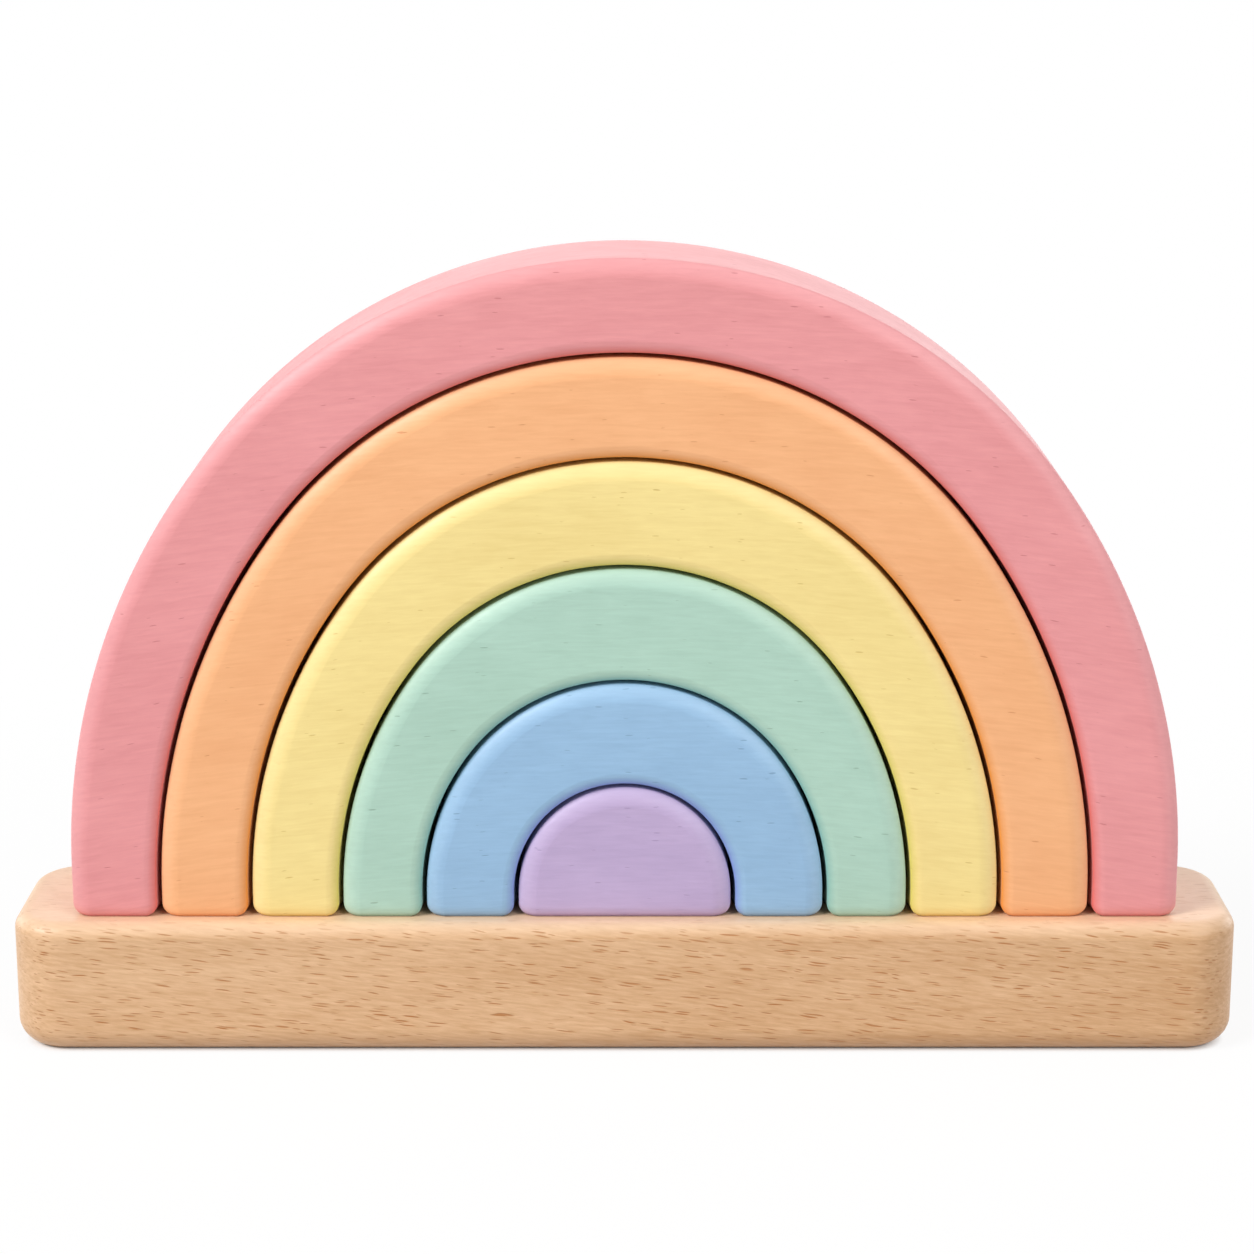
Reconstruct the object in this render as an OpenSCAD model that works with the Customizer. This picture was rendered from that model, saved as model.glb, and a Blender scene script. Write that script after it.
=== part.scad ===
// Rainbow stacker: five nested arches over a half-round block, all loose, standing on a wooden base.
// Millimetres, Z up, X across the rainbow, the front of the toy faces -Y.
// The origin is the middle of the base's underside.

/* [Coloured pieces] */
// Depth of every coloured piece, from its front face to its back face
piece_depth = 33; // [24:0.5:60]
// Free gap between one piece and the next
piece_gap = 1; // [0.5:0.1:2]
// Radius of the rounded edges of the coloured pieces
edge_round = 2.7; // [1:0.1:4]
// Height of the straight legs under the curves
leg_height = 5; // [4.5:0.1:12]

/* [Violet block] */
// Half of the violet block's width
violet_half_width = 22.5; // [18:0.1:32]
// Height of the violet block
violet_rise = 28.4; // [24:0.1:40]

/* [Blue arch] */
// Thickness of the blue arch at its feet
blue_wall = 18.5; // [12:0.1:26]
// Thickness of the blue arch at its crown
blue_crown = 21.6; // [14:0.1:30]

/* [Green arch] */
// Thickness of the green arch at its feet
green_wall = 16.7; // [12:0.1:26]
// Thickness of the green arch at its crown
green_crown = 23.6; // [14:0.1:30]

/* [Yellow arch] */
// Thickness of the yellow arch at its feet
yellow_wall = 18.3; // [12:0.1:26]
// Thickness of the yellow arch at its crown
yellow_crown = 21.6; // [14:0.1:30]

/* [Orange arch] */
// Thickness of the orange arch at its feet
orange_wall = 18.3; // [12:0.1:26]
// Thickness of the orange arch at its crown
orange_crown = 20.6; // [14:0.1:30]

/* [Pink arch] */
// Thickness of the pink arch at its feet
pink_wall = 17.9; // [12:0.1:26]
// Thickness of the pink arch at its crown
pink_crown = 19.2; // [12:0.1:28]
// How much higher the outer curve of the pink arch starts than the other curves
pink_stilt = 6.2; // [0:0.1:12]

/* [Base] */
// Height of the base
base_height = 29; // [15:0.5:45]
// How far the base reaches past the pink feet at each end
base_overhang = 13.3; // [4:0.1:30]
// How far the base reaches past the pieces at the front and at the back
base_margin = 5; // [4:0.1:20]
// Radius of the base's corners seen from above
base_corner = 11; // [8:0.5:16]
// Radius of the base's rounded top edge
base_top_round = 3.4; // [1:0.1:5]
// Radius of the base's rounded bottom edge
base_bottom_round = 5.5; // [1:0.1:7]

/* [Hidden] */
$fn = 96;

// a haunch arc ends where its radius has the slope of a 3-4-5 triangle
slope_run_share = 0.8;
slope_rise_share = 0.6;
// steps in a millimetre that the arcs' centres keep to, so that arcs that run on into each other meet exactly
centre_steps = 250;
// how far a cutting shape runs past the faces that it cuts
overrun = 1;

half_depth = piece_depth / 2;
round_level = half_depth - edge_round;

blue_half_width = violet_half_width + piece_gap + blue_wall;
blue_rise = violet_rise + piece_gap + blue_crown;
green_half_width = blue_half_width + piece_gap + green_wall;
green_rise = blue_rise + piece_gap + green_crown;
yellow_half_width = green_half_width + piece_gap + yellow_wall;
yellow_rise = green_rise + piece_gap + yellow_crown;
orange_half_width = yellow_half_width + piece_gap + orange_wall;
orange_rise = yellow_rise + piece_gap + orange_crown;
pink_half_width = orange_half_width + piece_gap + pink_wall;
pink_rise = orange_rise + piece_gap + pink_crown;

base_half_length = pink_half_width + base_overhang;
base_depth = piece_depth + 2 * base_margin;

// how far past the middle line the centre of a haunch arc lies
function set_back(half_width, rise, spring) =
    let (free_rise = rise - spring - half_width)
    round(free_rise / (1 + (slope_rise_share - 1) / slope_run_share) * centre_steps) / centre_steps;

// quarter of a disc, right of its centre and above it (1) or below it (-1)
module quarter_disc(radius, side) {
    intersection() {
        circle(radius);
        translate([0, min(0, side) * radius])
            square(radius);
    }
}

// section through the edge of a block, rounded at the outer bottom corner and, if asked, at the top one
module block_edge(width, height, top_round, bottom_round) {
    if (width > bottom_round)
        square([width - bottom_round, bottom_round]);
    translate([width - bottom_round, bottom_round])
        quarter_disc(bottom_round, -1);
    translate([0, bottom_round])
        square([width, height - top_round - bottom_round]);
    if (top_round > 0) {
        translate([0, height - top_round])
            square([width - top_round, top_round]);
        translate([width - top_round, height - top_round])
            quarter_disc(top_round, 1);
    }
}

// upright block with round corners, from x_low to x_high: a core, straight edges and revolved corners
module rounded_block(x_low, x_high, depth, height, corner, top_round, bottom_round, core_height) {
    run_low = x_low + corner;
    run_high = x_high - corner;
    half_span = depth / 2 - corner;
    translate([run_low, -half_span, 0])
        cube([run_high - run_low, 2 * half_span, core_height]);
    for (face = [0, 1])
        mirror([0, face, 0])
            translate([0, half_span, 0]) {
                translate([run_high, 0, 0])
                    rotate_extrude(angle = 90)
                        block_edge(corner, height, top_round, bottom_round);
                translate([run_low, 0, 0])
                    rotate(90)
                        rotate_extrude(angle = 90)
                            block_edge(corner, height, top_round, bottom_round);
                translate([run_low, 0, 0])
                    rotate([90, 0, 90])
                        linear_extrude(run_high - run_low)
                            block_edge(corner, height, top_round, bottom_round);
            }
    translate([run_high, half_span, 0])
        rotate([90, 0, 0])
            linear_extrude(2 * half_span)
                block_edge(corner, height, top_round, bottom_round);
    translate([run_low, -half_span, 0])
        rotate([90, 0, 180])
            linear_extrude(2 * half_span)
                block_edge(corner, height, top_round, bottom_round);
}

// half section of a solid round form, its two rims rounded
module solid_section(radius) {
    translate([0, -half_depth])
        square([radius - edge_round, piece_depth]);
    translate([radius - edge_round, -round_level])
        square([edge_round, 2 * round_level]);
    translate([radius - edge_round, round_level])
        quarter_disc(edge_round, 1);
    translate([radius - edge_round, -round_level])
        quarter_disc(edge_round, -1);
}

// half section of a round hollow, flared at both faces so that the rims left around it are rounded
module hollow_section(radius) {
    translate([0, -round_level])
        square([radius, 2 * round_level]);
    for (face = [0, 1])
        mirror([0, face])
            difference() {
                translate([0, round_level])
                    square([radius + edge_round, edge_round + overrun]);
                translate([radius + edge_round, round_level])
                    circle(edge_round);
            }
}

module turned_section(radius, hollow) {
    rotate_extrude()
        if (hollow)
            hollow_section(radius);
        else
            solid_section(radius);
}

// part of a turned form that lies over the flat shape given
module turned_sector(radius, hollow) {
    intersection() {
        turned_section(radius, hollow);
        translate([0, 0, -piece_depth])
            linear_extrude(2 * piece_depth)
                children();
    }
}

// three-centred curve from the springing level up: one crown arc that runs on smoothly into two haunch arcs
module three_centred_form(half_width, rise, spring, hollow) {
    back = set_back(half_width, rise, spring);
    haunch_radius = half_width + back;
    crown_radius = haunch_radius - back / slope_run_share;
    crown_lift = back * slope_rise_share / slope_run_share;
    slope = [slope_run_share, slope_rise_share];
    reach = 2 * (half_width + rise);
    rotate([90, 0, 0]) {
        translate([0, spring + crown_lift, 0])
            turned_sector(crown_radius, hollow)
                intersection() {
                    scale(reach)
                        polygon([[0, 0], slope, [0, 1], [-slope.x, slope.y]]);
                    translate([-reach, -crown_lift])
                        square([2 * reach, reach]);
                }
        for (side = [0, 1])
            mirror([side, 0, 0])
                translate([-back, spring, 0])
                    turned_sector(haunch_radius, hollow)
                        scale(reach)
                            polygon([[0, 0], [1, 0], slope]);
    }
}

// straight run of a solid form between the top of the legs and a curve that starts higher
module stilt(half_width, height) {
    translate([0, 0, leg_height])
        linear_extrude(height) {
            square([2 * half_width, 2 * round_level], center = true);
            square([2 * (half_width - edge_round), piece_depth], center = true);
            for (end = [0, 1], face = [0, 1])
                mirror([end, 0])
                    mirror([0, face])
                        translate([half_width - edge_round, round_level])
                            quarter_disc(edge_round, 1);
        }
}

// leg with a rounded foot, its core carried up into the curve above it
module leg(x_low, x_high) {
    rounded_block(x_low, x_high, piece_depth, leg_height, edge_round, 0, edge_round, leg_height + edge_round);
}

// arch that clears the next piece inside it by the gap all round
module arch(half_width, rise, stilt_height, inner_half_width, inner_rise) {
    hollow_half_width = inner_half_width + piece_gap;
    translate([0, 0, base_height]) {
        difference() {
            union() {
                three_centred_form(half_width, rise, leg_height + stilt_height, false);
                if (stilt_height > 0)
                    stilt(half_width, stilt_height);
            }
            three_centred_form(hollow_half_width, inner_rise + piece_gap, leg_height, true);
        }
        leg(hollow_half_width, half_width);
        leg(-half_width, -hollow_half_width);
    }
}

module base() {
    color("#DCB287")
        rounded_block(-base_half_length, base_half_length, base_depth, base_height, base_corner,
            base_top_round, base_bottom_round, base_height);
}

module violet_block() {
    color("#BBA7CD")
        translate([0, 0, base_height]) {
            three_centred_form(violet_half_width, violet_rise, leg_height, false);
            leg(-violet_half_width, violet_half_width);
        }
}

module blue_arch() {
    color("#98BCDE")
        arch(blue_half_width, blue_rise, 0, violet_half_width, violet_rise);
}

module green_arch() {
    color("#AED3C0")
        arch(green_half_width, green_rise, 0, blue_half_width, blue_rise);
}

module yellow_arch() {
    color("#F3E093")
        arch(yellow_half_width, yellow_rise, 0, green_half_width, green_rise);
}

module orange_arch() {
    color("#F6B480")
        arch(orange_half_width, orange_rise, 0, yellow_half_width, yellow_rise);
}

module pink_arch() {
    color("#E89B9E")
        arch(pink_half_width, pink_rise, pink_stilt, orange_half_width, orange_rise);
}

base();
violet_block();
blue_arch();
green_arch();
yellow_arch();
orange_arch();
pink_arch();
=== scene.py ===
"""Looks of the rainbow stacker: satin-painted beech pieces on an oiled beech base."""
import math

import bmesh
import bpy
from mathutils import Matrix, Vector, noise


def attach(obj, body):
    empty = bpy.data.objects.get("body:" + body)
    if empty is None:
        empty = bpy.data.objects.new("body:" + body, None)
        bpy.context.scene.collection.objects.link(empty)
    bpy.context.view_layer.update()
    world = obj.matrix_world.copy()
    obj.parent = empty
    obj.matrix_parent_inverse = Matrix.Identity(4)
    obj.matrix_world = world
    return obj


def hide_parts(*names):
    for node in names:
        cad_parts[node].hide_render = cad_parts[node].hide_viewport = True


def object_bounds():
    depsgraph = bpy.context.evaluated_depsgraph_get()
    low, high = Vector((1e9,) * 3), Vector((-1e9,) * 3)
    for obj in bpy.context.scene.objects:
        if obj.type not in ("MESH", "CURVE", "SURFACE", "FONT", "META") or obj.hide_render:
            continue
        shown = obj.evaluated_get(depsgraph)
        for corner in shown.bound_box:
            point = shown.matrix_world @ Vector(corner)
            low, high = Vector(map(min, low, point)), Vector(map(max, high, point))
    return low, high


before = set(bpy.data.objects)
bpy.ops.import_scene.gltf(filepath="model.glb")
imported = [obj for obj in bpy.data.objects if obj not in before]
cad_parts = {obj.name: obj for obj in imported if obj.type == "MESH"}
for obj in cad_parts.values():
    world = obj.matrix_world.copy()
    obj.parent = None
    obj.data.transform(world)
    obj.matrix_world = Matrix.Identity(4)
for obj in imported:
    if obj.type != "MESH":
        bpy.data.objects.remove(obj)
cad_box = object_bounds()

# the toy's sizes are in millimetres, the studio's in metres
MM = 0.001

# sizes of the toy, as in the part's source
HALF_DEPTH = 16.5
GAP = 1.0
FOOT_ROUND = 2.7
LEG = 5.0
BASE_TOP = 29.0
BASE_CORNER = 11.0
# a haunch arc ends where its radius has the slope of a 3-4-5 triangle
SLOPE_RUN_SHARE = 0.8
SLOPE_RISE_SHARE = 0.6
# each coloured piece, from the inside out: half width, rise, and how far above the legs its curve starts
OUTLINES = {
    "violet_block": (22.5, 28.4, 0),
    "blue_arch": (42.0, 51.0, 0),
    "green_arch": (59.7, 75.6, 0),
    "yellow_arch": (79.0, 98.2, 0),
    "orange_arch": (98.3, 119.8, 0),
    "pink_arch": (117.2, 140.0, 6.2),
}

# rims as sanded: their width on outer and inner sides, and how far they reach back as a share of it
OUTER_RIM = 3.9
INNER_RIM = 2.6
RIM_DEPTH_SHARE = 0.5
# 1 is a round rim, 2 a flat chamfer
RIM_FLATNESS = 1.3
# how much a rim's width wanders, and over what run along the piece
WANDER_SHARE = 0.1
WANDER_RUN = 14.0
# how much a foot is rounded at its front, as a share of its sides
LIP_SHARE = 0.45
# an arch's inner side closes the gap deep inside, all but this much, so that no light comes through
DEEP_CLEARANCE = 0.002
# the higher, the narrower the place where it closes
SWELL_POWER = 4
# points that lie closer than this are one point
WELD = 0.001

# steps of the mesh along each stretch
HAUNCH_STEPS = 36
CROWN_STEPS = 108
FOOT_STEPS = 8
RIM_STEPS = 16
SIDE_STEPS = 12
FACE_STEPS = 6

# cells of the wood's pattern along, into and across the board. Vessel lines and ray flecks are finer
# on real beech, about a tenth of a millimetre wide. They are drawn coarser here, so that they show
COAT_CLOUD = (40, 20, 25)
PAINTED_GRAIN = (8, 1.2, 0.8)
PAINTED_FLECK = (6, 3, 0.9)
BASE_CLOUD = (70, 16, 9)
BASE_GRAIN = (6, 1.2, 0.6)
BASE_FLECK = (6.5, 1.1, 0.52)
FLECK_BEND = (9, 3, 3)
FLECK_SHIFT = 1.4
# width of the smallest fleck as a share of the widest, and how much of a fleck is at its darkest
SMALLEST_FLECK_SHARE = 0.3
FLECK_HEART_SHARE = 0.55
# tilt of the base's grain and flecks in degrees, and the radius to which the painted boards' grain bows
BASE_GRAIN_TILT = 7
BASE_FLECK_TILT = 6
GRAIN_BOW_RADIUS = 625.0
# over this half length the base's colour deepens
BASE_HALF_RUN = 130.0
# heights above the base's top between which the painted contact shade on the feet fades
CONTACT_SHADE_FULL = 0.3
CONTACT_SHADE_END = 1.0
# painted highlight on outer rims, painted shade on inner rims: how far a rim faces out where each starts
# and is full, then its strength
PAINTED_HIGHLIGHT_TINT = (0.0, 0.6, 0.3)
PAINTED_SHADE_TINT = (-0.25, -0.8, 0.95)
# height of the wood's relief under the finish, and the refractive index of paint and oil
RELIEF = 0.12
FINISH_IOR = 1.5

# colours of each paint: face, fleck, painted highlight on the outer rims and painted shade on the inner
# rims, then where in the wood the piece was cut
PAINTS = {
    "violet_block": ("#C3AED4", "#9A86B0", "#D9C8E6", "#A48CC0", (7, 3, 5)),
    "blue_arch": ("#9BC1E2", "#7698BA", "#B6D6F2", "#7C94DA", (19, 11, 2)),
    "green_arch": ("#B4D7C6", "#8EAF9E", "#CBE8D9", "#7FB6AC", (31, 5, 9)),
    "yellow_arch": ("#F8E298", "#D8B96A", "#FDEEB4", "#DCCB5C", (43, 8, 13)),
    "orange_arch": ("#F8B985", "#D98F5A", "#FDCDA2", "#E58A28", (57, 2, 17)),
    "pink_arch": ("#EC9D9F", "#C87478", "#F8B8BB", "#DE6A66", (71, 14, 21)),
}

# studio lamps: place, width and level
LAMPS = {
    "key": ((-2.3, -1.6, 2.2), 1.4, 0.79),
    "fill": ((1.6, -2.0, 1.3), 1.4, 0.32),
    "top": ((0.6, -0.5, 1.8), 0.8, 0.12),
    "rim": ((0.2, 1.45, 0.55), 1.3, 0.22),
    "left_back": ((-2.0, 1.4, 0.5), 1.2, 0.2),
    "right_back": ((2.0, 1.4, 0.5), 1.2, 0.25),
}
LAMP_AIM = (0, 0, 0.08)
WORLD_LEVEL = 0.22
FLOOR_HALF_WIDTH = 12
# the floor's brightening starts this far inside the base's outline, and grows again far from it
LIFT_START = -4.0
LIFT_FULL = -1.2
FAR_START = 30.0
FAR_FULL = 250.0

# the camera, as it fits the toy's outline in the photograph: width and focal length are in pixels,
# the sensor in millimetres and the tilt in radians
PHOTO_WIDTH = 1254
PHOTO_FOCAL = 3078.4
SENSOR_WIDTH = 36
CAMERA_PLACE = (0.000519, -0.635282, 0.248011)
CAMERA_DOWN = 0.246


def linear(code):
    """Turns an sRGB hex colour into the linear values that the shaders take."""
    parts = [int(code[i:i + 2], 16) / 255 for i in (1, 3, 5)]
    return [c / 12.92 if c <= 0.04045 else ((c + 0.055) / 1.055) ** 2.4 for c in parts] + [1.0]


def add(tree, kind, inputs=None, **settings):
    """Adds a node: settings are its own properties, inputs are values or sockets to link from."""
    node = tree.nodes.new("ShaderNode" + kind)
    for name, value in settings.items():
        setattr(node, name, value)
    for name, value in (inputs or {}).items():
        if isinstance(value, bpy.types.NodeSocket):
            tree.links.new(value, node.inputs[name])
        else:
            node.inputs[name].default_value = value
    return node


def new_material(name):
    """Gives an empty material and its node tree."""
    material = bpy.data.materials.new(name)
    material.use_nodes = True
    tree = material.node_tree
    tree.nodes.clear()
    return material, tree


def grain_cells(tree, place, size, tilt, start):
    """Gives coordinates that count cells of a size in millimetres, long side along the grain."""
    return add(tree, "Mapping", {
        "Vector": place,
        "Location": [s * MM for s in start],
        "Rotation": (0, math.radians(tilt), 0),
        "Scale": [s * MM for s in size],
    }, vector_type="TEXTURE").outputs["Vector"]


def streaks(tree, place, size, tilt, start):
    """Gives soft uneven streaks along the grain, from 0 to 1."""
    cells = grain_cells(tree, place, size, tilt, start)
    return add(tree, "TexNoise", {
        "Vector": cells, "Scale": 1.0, "Detail": 4.0, "Roughness": 0.6, "Distortion": 0.4,
    }).outputs["Fac"]


def bent_board(tree, place, start):
    """Shifts places a little to and fro, so that the flecks don't lie in ruled rows."""
    cells = grain_cells(tree, place, FLECK_BEND, 0, start)
    wander = add(tree, "TexNoise", {"Vector": cells, "Scale": 1.0, "Detail": 1.0}).outputs["Color"]
    shift = add(tree, "VectorMath", {0: wander, 1: (0.5, 0.5, 0.5)}, operation="SUBTRACT")
    shift = add(tree, "VectorMath", {0: shift.outputs[0], "Scale": FLECK_SHIFT * MM}, operation="SCALE")
    return add(tree, "VectorMath", {0: place, 1: shift.outputs[0]}, operation="ADD").outputs[0]


def ray_flecks(tree, place, size, tilt, start, half_width, kept):
    """Gives the short dark spindles that wood rays draw: up to 1 in a fleck, 0 outside.
    Every cell holds one spindle, whose half width is a share of the cell's, and a share of them is kept."""
    cells = grain_cells(tree, bent_board(tree, place, start), size, tilt, start)
    spots = add(tree, "TexVoronoi", {"Vector": cells, "Scale": 1.0, "Randomness": 1.0})
    chance = add(tree, "SeparateColor", {"Color": spots.outputs["Color"]})
    reach = add(tree, "MapRange", {
        "Value": chance.outputs["Red"], "From Min": 1 - kept, "From Max": 1.0,
        "To Min": SMALLEST_FLECK_SHARE * half_width, "To Max": half_width,
    })
    heart = add(tree, "Math", {0: reach.outputs[0], 1: FLECK_HEART_SHARE}, operation="MULTIPLY")
    depth = add(tree, "MapRange", {
        "Value": spots.outputs["Distance"], "From Min": reach.outputs[0], "From Max": heart.outputs[0],
        "To Min": 0.0, "To Max": 1.0,
    }, interpolation_type="SMOOTHSTEP")
    found = add(tree, "Math", {0: chance.outputs["Red"], 1: 1 - kept}, operation="GREATER_THAN")
    shown = add(tree, "Math", {0: depth.outputs[0], 1: found.outputs[0]}, operation="MULTIPLY")
    strength = add(tree, "MapRange", {"Value": chance.outputs["Green"], "To Min": 0.5, "To Max": 1.0})
    return add(tree, "Math", {0: shown.outputs[0], 1: strength.outputs[0]}, operation="MULTIPLY").outputs[0]


def tinted(tree, base_colour, tints):
    """Lays tints over a colour, one after another. Each is a mask and an sRGB hex colour."""
    colour = linear(base_colour)
    for mask, tint in tints:
        colour = add(tree, "Mix", {
            "Factor": mask, "A": colour, "B": linear(tint),
        }, data_type="RGBA").outputs["Result"]
    return colour


def finish_wood(tree, colour, streak, flecks, smoothest, roughest):
    """Ends a wood material: the finish is rougher along the streaks, and sinks in over the flecks."""
    rough = add(tree, "MapRange", {
        "Value": streak, "From Min": 0.3, "From Max": 0.7, "To Min": smoothest, "To Max": roughest,
    })
    relief = add(tree, "Math", {0: flecks, 1: -1.0, 2: streak}, operation="MULTIPLY_ADD")
    bump = add(tree, "Bump", {"Height": relief.outputs[0], "Strength": 0.5, "Distance": RELIEF * MM})
    shader = add(tree, "BsdfPrincipled", {
        "Base Color": colour, "Roughness": rough.outputs[0], "IOR": FINISH_IOR, "Normal": bump.outputs[0],
    })
    add(tree, "OutputMaterial", {"Surface": shader.outputs[0]})


def bowed_board(tree, place):
    """Bows the grain upwards, as it is in a board that was cut near the side of the trunk."""
    across = add(tree, "VectorMath", {0: place, 1: (1, 0, 0)}, operation="DOT_PRODUCT")
    square = add(tree, "Math", {0: across.outputs["Value"], 1: 2.0}, operation="POWER")
    up = add(tree, "CombineXYZ", {"Z": square.outputs[0]})
    rise = (0, 0, 1 / (2 * GRAIN_BOW_RADIUS * MM))
    bowed = add(tree, "VectorMath", {0: up.outputs[0], 1: rise, 2: place}, operation="MULTIPLY_ADD")
    return bowed.outputs[0]


def rim_highlight_and_shade_masks(tree, coords, place):
    """Gives two masks for the rims of a painted piece: the outer ones for a painted highlight, then the
    inner ones for painted shade.
    """
    # a normal between the face's and the side's is a rim
    normal = add(tree, "SeparateXYZ", {"Vector": coords.outputs["Normal"]})
    front = add(tree, "Math", {0: normal.outputs["Y"], 1: normal.outputs["Y"]}, operation="MULTIPLY")
    off_face = add(tree, "MapRange", {
        "Value": front.outputs[0], "From Min": 0.995, "From Max": 0.85, "To Min": 0.0, "To Max": 1.0,
    }, interpolation_type="SMOOTHSTEP")
    off_side = add(tree, "MapRange", {
        "Value": front.outputs[0], "From Min": 0.0, "From Max": 0.2, "To Min": 0.0, "To Max": 1.0,
    }, interpolation_type="SMOOTHSTEP")
    rim = add(tree, "Math", {0: off_face.outputs[0], 1: off_side.outputs[0]}, operation="MULTIPLY")
    # seen from the middle of the base's top, a rim faces out or in
    spoke = add(tree, "VectorMath", {0: place, 1: (0, 0, BASE_TOP * MM)}, operation="SUBTRACT")
    spoke = add(tree, "VectorMath", {0: spoke.outputs[0], 1: (1, 0, 1)}, operation="MULTIPLY")
    spoke = add(tree, "VectorMath", {0: spoke.outputs[0]}, operation="NORMALIZE")
    faces_out = add(tree, "VectorMath", {0: spoke.outputs[0], 1: coords.outputs["Normal"]},
                    operation="DOT_PRODUCT")
    masks = []
    for none, full, strength in (PAINTED_HIGHLIGHT_TINT, PAINTED_SHADE_TINT):
        side = add(tree, "MapRange", {
            "Value": faces_out.outputs["Value"], "From Min": none, "From Max": full,
            "To Min": 0.0, "To Max": strength,
        })
        mask = add(tree, "Math", {0: side.outputs[0], 1: rim.outputs[0]}, operation="MULTIPLY")
        masks.append(mask.outputs[0])
    return masks


def painted_contact_shade(tree, place):
    """Gives painted contact shade: a darkening of the feet along the line where they stand."""
    above = add(tree, "SeparateXYZ", {"Vector": place})
    return add(tree, "MapRange", {
        "Value": above.outputs["Z"],
        "From Min": (BASE_TOP + CONTACT_SHADE_FULL) * MM, "From Max": (BASE_TOP + CONTACT_SHADE_END) * MM,
        "To Min": 0.85, "To Max": 0.0,
    }).outputs[0]


def painted_beech(name, face, fleck, highlight_rim_colour, shade_rim_colour, start):
    """Water-based satin paint, sprayed thin on sanded beech: an even pastel with a faint grain and short
    dents over the rays, with a painted highlight on the outer rims, painted shade on the inner ones, and
    painted contact shade along the feet."""
    material, tree = new_material(name)
    coords = add(tree, "TexCoord")
    place = coords.outputs["Object"]
    board = bowed_board(tree, place)
    # broad cloudiness of the sprayed coat, and the streaks of the wood under it, in equal parts
    cloud = streaks(tree, place, COAT_CLOUD, 0, start)
    grain = streaks(tree, board, PAINTED_GRAIN, 0, start)
    tone = add(tree, "Math", {0: cloud, 1: 0.5, 2: 0.0}, operation="MULTIPLY_ADD")
    tone = add(tree, "Math", {0: grain, 1: 0.5, 2: tone.outputs[0]}, operation="MULTIPLY_ADD")
    shade = add(tree, "MapRange", {
        "Value": tone.outputs[0], "From Min": 0.35, "From Max": 0.65, "To Min": 0.0, "To Max": 0.38,
    })
    flecks = ray_flecks(tree, board, PAINTED_FLECK, 0, start, half_width=0.19, kept=0.4)
    # painted contact shade at the feet darkens the paint, together with the ray flecks
    mark = add(tree, "Math", {0: flecks, 1: 0.8, 2: painted_contact_shade(tree, place)}, operation="MULTIPLY_ADD",
               use_clamp=True)
    # the outer rims get a painted highlight, the inner rims painted shade
    outer, inner = rim_highlight_and_shade_masks(tree, coords, place)
    colour = tinted(tree, face, (
        (shade.outputs[0], fleck), (outer, highlight_rim_colour), (inner, shade_rim_colour), (mark.outputs[0], fleck)))
    finish_wood(tree, colour, tone.outputs[0], flecks, smoothest=0.42, roughest=0.52)
    return material


def board_shade(tree, place, grain, start):
    """Gives the base's shade: it deepens slowly along the board, with broad clouds and fine streaks."""
    along = add(tree, "SeparateXYZ", {"Vector": place})
    length = add(tree, "MapRange", {
        "Value": along.outputs["X"], "From Min": -BASE_HALF_RUN * MM, "From Max": BASE_HALF_RUN * MM,
        "To Min": -0.18, "To Max": 0.18,
    })
    cloud = streaks(tree, place, BASE_CLOUD, 0, start)
    broad = add(tree, "Math", {0: cloud, 1: length.outputs[0]}, operation="ADD")
    fine = add(tree, "Math", {0: grain, 1: 1.6, 2: -0.8}, operation="MULTIPLY_ADD")
    tone = add(tree, "Math", {0: fine.outputs[0], 1: broad.outputs[0]}, operation="ADD")
    return add(tree, "MapRange", {
        "Value": tone.outputs[0], "From Min": 0.1, "From Max": 0.9, "To Min": 0.0, "To Max": 1.0,
    }).outputs[0]


def oiled_beech(name, pale, deep, sanded, painted_underside_shade, fleck, start):
    """Sanded and oiled steamed beech: a warm tan with fine wavy vessel lines along the board, short
    brown ray flecks on its front and back, and only faint ones on its top and ends."""
    material, tree = new_material(name)
    coords = add(tree, "TexCoord")
    place = coords.outputs["Object"]
    grain = streaks(tree, place, BASE_GRAIN, BASE_GRAIN_TILT, start)
    shade = board_shade(tree, place, grain, start)
    # painted highlight: the top is painted paler than the front; painted shade: the lower edge, which faces
    # down, is painted darker
    normal = add(tree, "SeparateXYZ", {"Vector": coords.outputs["Normal"]})
    top_highlight = add(tree, "MapRange", {
        "Value": normal.outputs["Z"], "From Min": 0.2, "From Max": 1.0, "To Min": 0.0, "To Max": 0.6,
    })
    underside_shade = add(tree, "MapRange", {
        "Value": normal.outputs["Z"], "From Min": -0.1, "From Max": -0.7, "To Min": 0.0, "To Max": 0.25,
    })
    # the rays show best on the front and the back
    flecks = ray_flecks(tree, place, BASE_FLECK, BASE_FLECK_TILT, start, half_width=0.43, kept=0.9)
    flat = add(tree, "Math", {0: normal.outputs["Y"], 1: normal.outputs["Y"]}, operation="MULTIPLY")
    show = add(tree, "MapRange", {"Value": flat.outputs[0], "From Min": 0.3, "To Min": 0.2, "To Max": 1.0})
    mark = add(tree, "Math", {0: flecks, 1: show.outputs[0]}, operation="MULTIPLY")
    colour = tinted(tree, pale, (
        (shade, deep), (top_highlight.outputs[0], sanded), (underside_shade.outputs[0], painted_underside_shade), (mark.outputs[0], fleck)))
    finish_wood(tree, colour, grain, flecks, smoothest=0.36, roughest=0.46)
    return material


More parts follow.
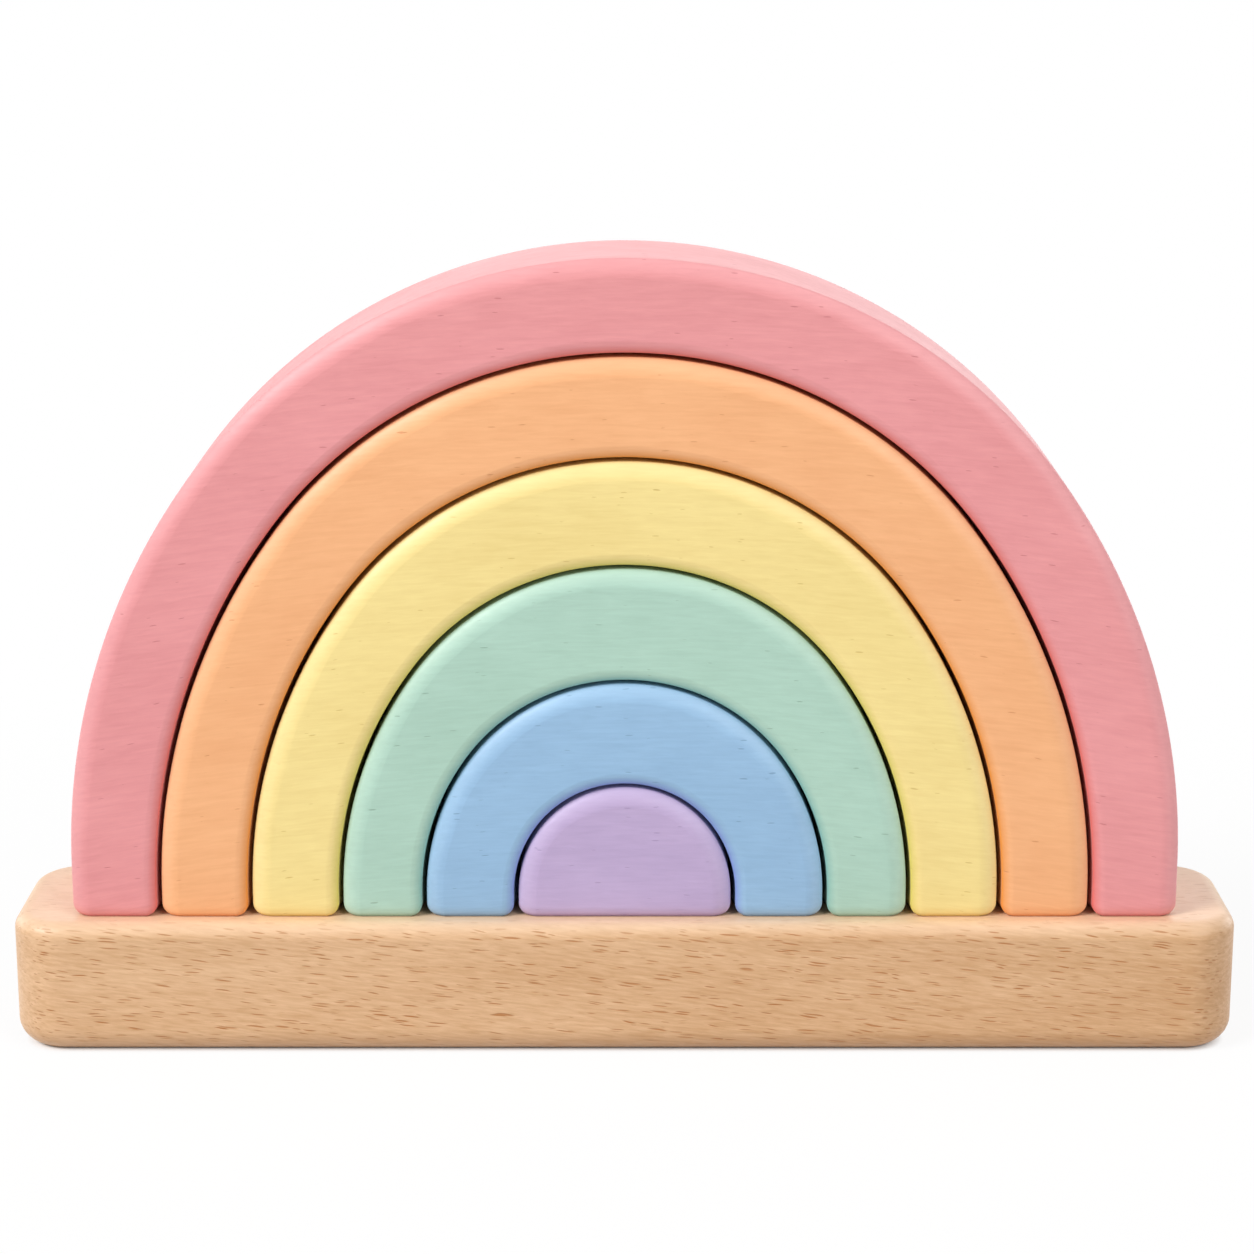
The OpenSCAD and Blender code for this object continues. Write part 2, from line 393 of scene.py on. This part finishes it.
def arch_curve(half_width, rise, stilt):
    """Follows a three-centred arch from the left springing to the right: points and outward normals."""
    spring = LEG + stilt
    free_rise = rise - spring - half_width
    back = free_rise / (1 + (SLOPE_RISE_SHARE - 1) / SLOPE_RUN_SHARE)
    haunch_radius = half_width + back
    crown_radius = haunch_radius - back / SLOPE_RUN_SHARE
    crown_level = spring + back * SLOPE_RISE_SHARE / SLOPE_RUN_SHARE
    turn = math.atan2(SLOPE_RISE_SHARE, SLOPE_RUN_SHARE)
    arcs = (
        (back, spring, haunch_radius, math.pi, math.pi - turn, HAUNCH_STEPS),
        (0, crown_level, crown_radius, math.pi - turn, turn, CROWN_STEPS),
        (-back, spring, haunch_radius, turn, 0, HAUNCH_STEPS),
    )
    curve = []
    for x, z, radius, start, end, steps in arcs:
        for i in range(1 if curve else 0, steps + 1):
            angle = start + (end - start) * i / steps
            normal = Vector((math.cos(angle), 0, math.sin(angle)))
            curve.append((Vector((x, 0, z)) + radius * normal, normal))
    return curve


def arch_stations(half_width, rise, stilt):
    """Adds the legs to the curve, down to the feet. The third value is how far the foot is drawn in."""
    stations = [(point, normal, 0.0) for point, normal in arch_curve(half_width, rise, stilt)]
    for side in (-1, 1):
        foot = []
        for i in range(FOOT_STEPS + 1):
            turn = math.pi / 2 * i / FOOT_STEPS
            point = Vector((side * half_width, 0, FOOT_ROUND * (1 - math.cos(turn))))
            foot.append((point, Vector((side, 0, 0)), FOOT_ROUND * (1 - math.sin(turn))))
        stations = foot + stations if side < 0 else stations + foot[::-1]
    return stations


def rim_arc(point, inward, width, depth, drawn_in, face):
    """Rounded rim at the front (-1) or back (1) face, from the flat face round to the side."""
    small = width - drawn_in
    forward = depth - LIP_SHARE * drawn_in
    arc = []
    for i in range(RIM_STEPS + 1):
        turn = math.pi / 2 * i / RIM_STEPS
        aside = small * math.sin(turn) ** RIM_FLATNESS
        level = HALF_DEPTH - depth + forward * max(0, math.cos(turn)) ** RIM_FLATNESS
        arc.append(point + inward * (width - aside) + Vector((0, face * level, 0)))
    return arc


def sanded_side(station, outward, width, swell):
    """One side of a piece from the front rim to the back rim. A side that swells does so deep inside,
    where its foot is rounded less. The rims are sanded by hand, so their width wanders a little."""
    point, normal, drawn_in = station
    inward = -normal * outward
    width *= 1 + WANDER_SHARE * noise.noise(point / WANDER_RUN + Vector((width, 0, 0)))
    depth = width * RIM_DEPTH_SHARE
    level = HALF_DEPTH - depth
    run = []
    for i in range(1, SIDE_STEPS):
        share = 2 * i / SIDE_STEPS - 1
        deep = (1 - share ** 2) ** SWELL_POWER
        foot = drawn_in * share ** 2 if swell else drawn_in
        out = swell * deep - foot
        run.append(point - inward * out + Vector((0, level * share, 0)))
    return (rim_arc(point, inward, width, depth, drawn_in, -1) + run
            + rim_arc(point, inward, width, depth, drawn_in, 1)[::-1])


def closed_section(one_side, other_side):
    """One closed section of a piece: two sides, joined by its flat faces."""
    loop = []
    for run, after in ((one_side, other_side[::-1]), (other_side[::-1], one_side)):
        loop += run
        loop += [run[-1].lerp(after[0], i / FACE_STEPS) for i in range(1, FACE_STEPS)]
    return loop


def add_points(mesh, points):
    """Adds points, given in millimetres from the middle of the base's top."""
    return [mesh.verts.new((point + Vector((0, 0, BASE_TOP))) * MM) for point in points]


def show_piece(node, sections, feet, material):
    """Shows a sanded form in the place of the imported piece: its sections in a row, closed at the feet."""
    mesh = bmesh.new()
    loops = [add_points(mesh, section) for section in sections]
    for one, two in zip(loops, loops[1:]):
        for i in range(len(one)):
            mesh.faces.new((one[i - 1], one[i], two[i], two[i - 1]))
    for foot in feet:
        mesh.faces.new(loops[foot])
    bmesh.ops.remove_doubles(mesh, verts=mesh.verts, dist=WELD * MM)
    bmesh.ops.recalc_face_normals(mesh, faces=mesh.faces)
    data = bpy.data.meshes.new(node + "_sanded")
    mesh.to_mesh(data)
    mesh.free()
    data.shade_smooth()
    data.materials.append(material)
    piece = bpy.data.objects.new(node + "_sanded", data)
    bpy.context.scene.collection.objects.link(piece)
    piece.modifiers.new("even_normals", "WEIGHTED_NORMAL")
    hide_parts(node)
    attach(piece, node)


def build_arch(node, inner_node, material):
    """An arch from foot to foot. Deep in the gap its inner side all but touches the piece inside it."""
    half_width, rise, stilt = OUTLINES[inner_node]
    outer = arch_stations(*OUTLINES[node])
    inner = arch_stations(half_width + GAP, rise + GAP, stilt)
    swell = GAP - DEEP_CLEARANCE
    sections = [
        closed_section(sanded_side(one, 1, OUTER_RIM, 0), sanded_side(two, -1, INNER_RIM, swell))
        for one, two in zip(outer, inner)
    ]
    show_piece(node, sections, (0, -1), material)


def build_block(node, material):
    """The half-round block from its foot up to its crown, where its two sides meet."""
    sides = [sanded_side(station, 1, OUTER_RIM, 0) for station in arch_stations(*OUTLINES[node])]
    middle = len(sides) // 2 + 1
    sections = [closed_section(left, right) for left, right in zip(sides[:middle], sides[::-1])]
    show_piece(node, sections, (0,), material)


def build_coloured_pieces():
    """The painted pieces from the inside out, each over the one before it."""
    inside = None
    for node, (face, fleck, highlight_rim_colour, shade_rim_colour, start) in PAINTS.items():
        name = node.split("_")[0] + "_paint_on_beech"
        paint = painted_beech(name, face, fleck, highlight_rim_colour, shade_rim_colour, start)
        if inside:
            build_arch(node, inside, paint)
        else:
            build_block(node, paint)
        inside = node


def dress_base():
    """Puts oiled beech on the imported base, whose shape stays as it is."""
    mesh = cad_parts["base"].data
    mesh.materials.clear()
    # the colour given for the top is a painted highlight, and the one for the lower edge a painted shade
    mesh.materials.append(oiled_beech(
        "oiled_beech", pale="#E6BD94", deep="#CB9D70", sanded="#F1D3B5", painted_underside_shade="#C98A48", fleck="#AC6A2C",
        start=(0, 0, 0)))


def white_where_seen(tree):
    """Gives 1 for rays that see a surface directly or in a reflection, 0 for rays that light others."""
    path = add(tree, "LightPath")
    seen = add(tree, "Math", {0: path.outputs["Is Camera Ray"], 1: path.outputs["Is Glossy Ray"]},
               operation="MAXIMUM")
    return add(tree, "Math", {0: seen.outputs[0], 1: path.outputs["Is Transmission Ray"]},
               operation="MAXIMUM").outputs[0]


def distance_from_base(tree):
    """Gives how far a spot of the floor lies from the base's round-cornered outline, negative inside it."""
    corner = BASE_CORNER * MM
    inner_box = (cad_box[1][0] - corner, cad_box[1][1] - corner, 0)
    apart = add(tree, "VectorMath", {0: add(tree, "TexCoord").outputs["Object"]}, operation="ABSOLUTE")
    apart = add(tree, "VectorMath", {0: apart.outputs[0], 1: inner_box}, operation="SUBTRACT")
    apart = add(tree, "VectorMath", {0: apart.outputs[0], 1: (0, 0, 0)}, operation="MAXIMUM")
    apart = add(tree, "VectorMath", {0: apart.outputs[0]}, operation="LENGTH")
    return add(tree, "Math", {0: apart.outputs["Value"], 1: corner}, operation="SUBTRACT").outputs[0]


def matte_white_paper():
    """Matte white paper: it keeps a soft shadow right under the toy and is seen nearly white elsewhere."""
    material, tree = new_material("matte_white_paper")
    paper = add(tree, "BsdfDiffuse", {"Color": linear("#CCCCCC")})
    bright = add(tree, "BsdfDiffuse", {"Color": linear("#FAFAFA")})
    glow = add(tree, "Emission", {"Color": linear("#FFFFFF"), "Strength": 1.0})
    apart = distance_from_base(tree)
    near = add(tree, "MapRange", {
        "Value": apart, "From Min": LIFT_START * MM, "From Max": LIFT_FULL * MM,
        "To Min": 0.0, "To Max": 0.9,
    })
    far = add(tree, "MapRange", {
        "Value": apart, "From Min": FAR_START * MM, "From Max": FAR_FULL * MM,
        "To Min": 0.0, "To Max": 0.1,
    })
    lift = add(tree, "Math", {0: near.outputs[0], 1: far.outputs[0]}, operation="ADD")
    lifted = add(tree, "MixShader", {0: lift.outputs[0], 1: bright.outputs[0], 2: glow.outputs[0]})
    shown = add(tree, "MixShader", {0: white_where_seen(tree), 1: paper.outputs[0], 2: lifted.outputs[0]})
    add(tree, "OutputMaterial", {"Surface": shown.outputs[0]})
    return material


def build_floor():
    """A wide floor under the toy."""
    mesh = bpy.data.meshes.new("floor")
    half = FLOOR_HALF_WIDTH
    corners = [(-half, -half, 0), (half, -half, 0), (half, half, 0), (-half, half, 0)]
    mesh.from_pydata(corners, [], [(0, 1, 2, 3)])
    mesh.materials.append(matte_white_paper())
    floor = bpy.data.objects.new("floor", mesh)
    bpy.context.scene.collection.objects.link(floor)


def build_world():
    """Even light from all round, seen as white."""
    world = bpy.data.worlds.new("studio")
    world.use_nodes = True
    tree = world.node_tree
    tree.nodes.clear()
    around = add(tree, "Background", {"Color": linear("#FFFFFF"), "Strength": WORLD_LEVEL})
    seen = add(tree, "Background", {"Color": linear("#FFFFFF"), "Strength": 1.0})
    mix = add(tree, "MixShader", {0: white_where_seen(tree), 1: around.outputs[0], 2: seen.outputs[0]})
    add(tree, "OutputWorld", {"Surface": mix.outputs[0]})
    bpy.context.scene.world = world


def build_lamp(name, place, width, level):
    """A square studio lamp. Level 1 alone shows a surface that faces it at its own colour."""
    lamp = bpy.data.lights.new(name, "AREA")
    lamp.shape = "SQUARE"
    lamp.size = width
    away = Vector(LAMP_AIM) - Vector(place)
    lamp.energy = level * math.pi ** 2 * away.length_squared
    box = bpy.data.objects.new(name, lamp)
    box.location = place
    box.rotation_mode = "QUATERNION"
    box.rotation_quaternion = away.to_track_quat("-Z", "Y")
    bpy.context.scene.collection.objects.link(box)


def build_camera():
    """A long lens a little above the toy, straight on."""
    data = bpy.data.cameras.new("camera")
    data.sensor_width = SENSOR_WIDTH
    data.lens = SENSOR_WIDTH * PHOTO_FOCAL / PHOTO_WIDTH
    camera = bpy.data.objects.new("camera", data)
    camera.location = CAMERA_PLACE
    camera.rotation_euler = (math.pi / 2 - CAMERA_DOWN, 0, 0)
    bpy.context.scene.collection.objects.link(camera)
    bpy.context.scene.camera = camera


build_camera()
build_world()
for lamp_name, (lamp_place, lamp_width, lamp_level) in LAMPS.items():
    build_lamp(lamp_name, lamp_place, lamp_width, lamp_level)
build_floor()
dress_base()
build_coloured_pieces()

bpy.context.scene.view_settings.view_transform = "Standard"
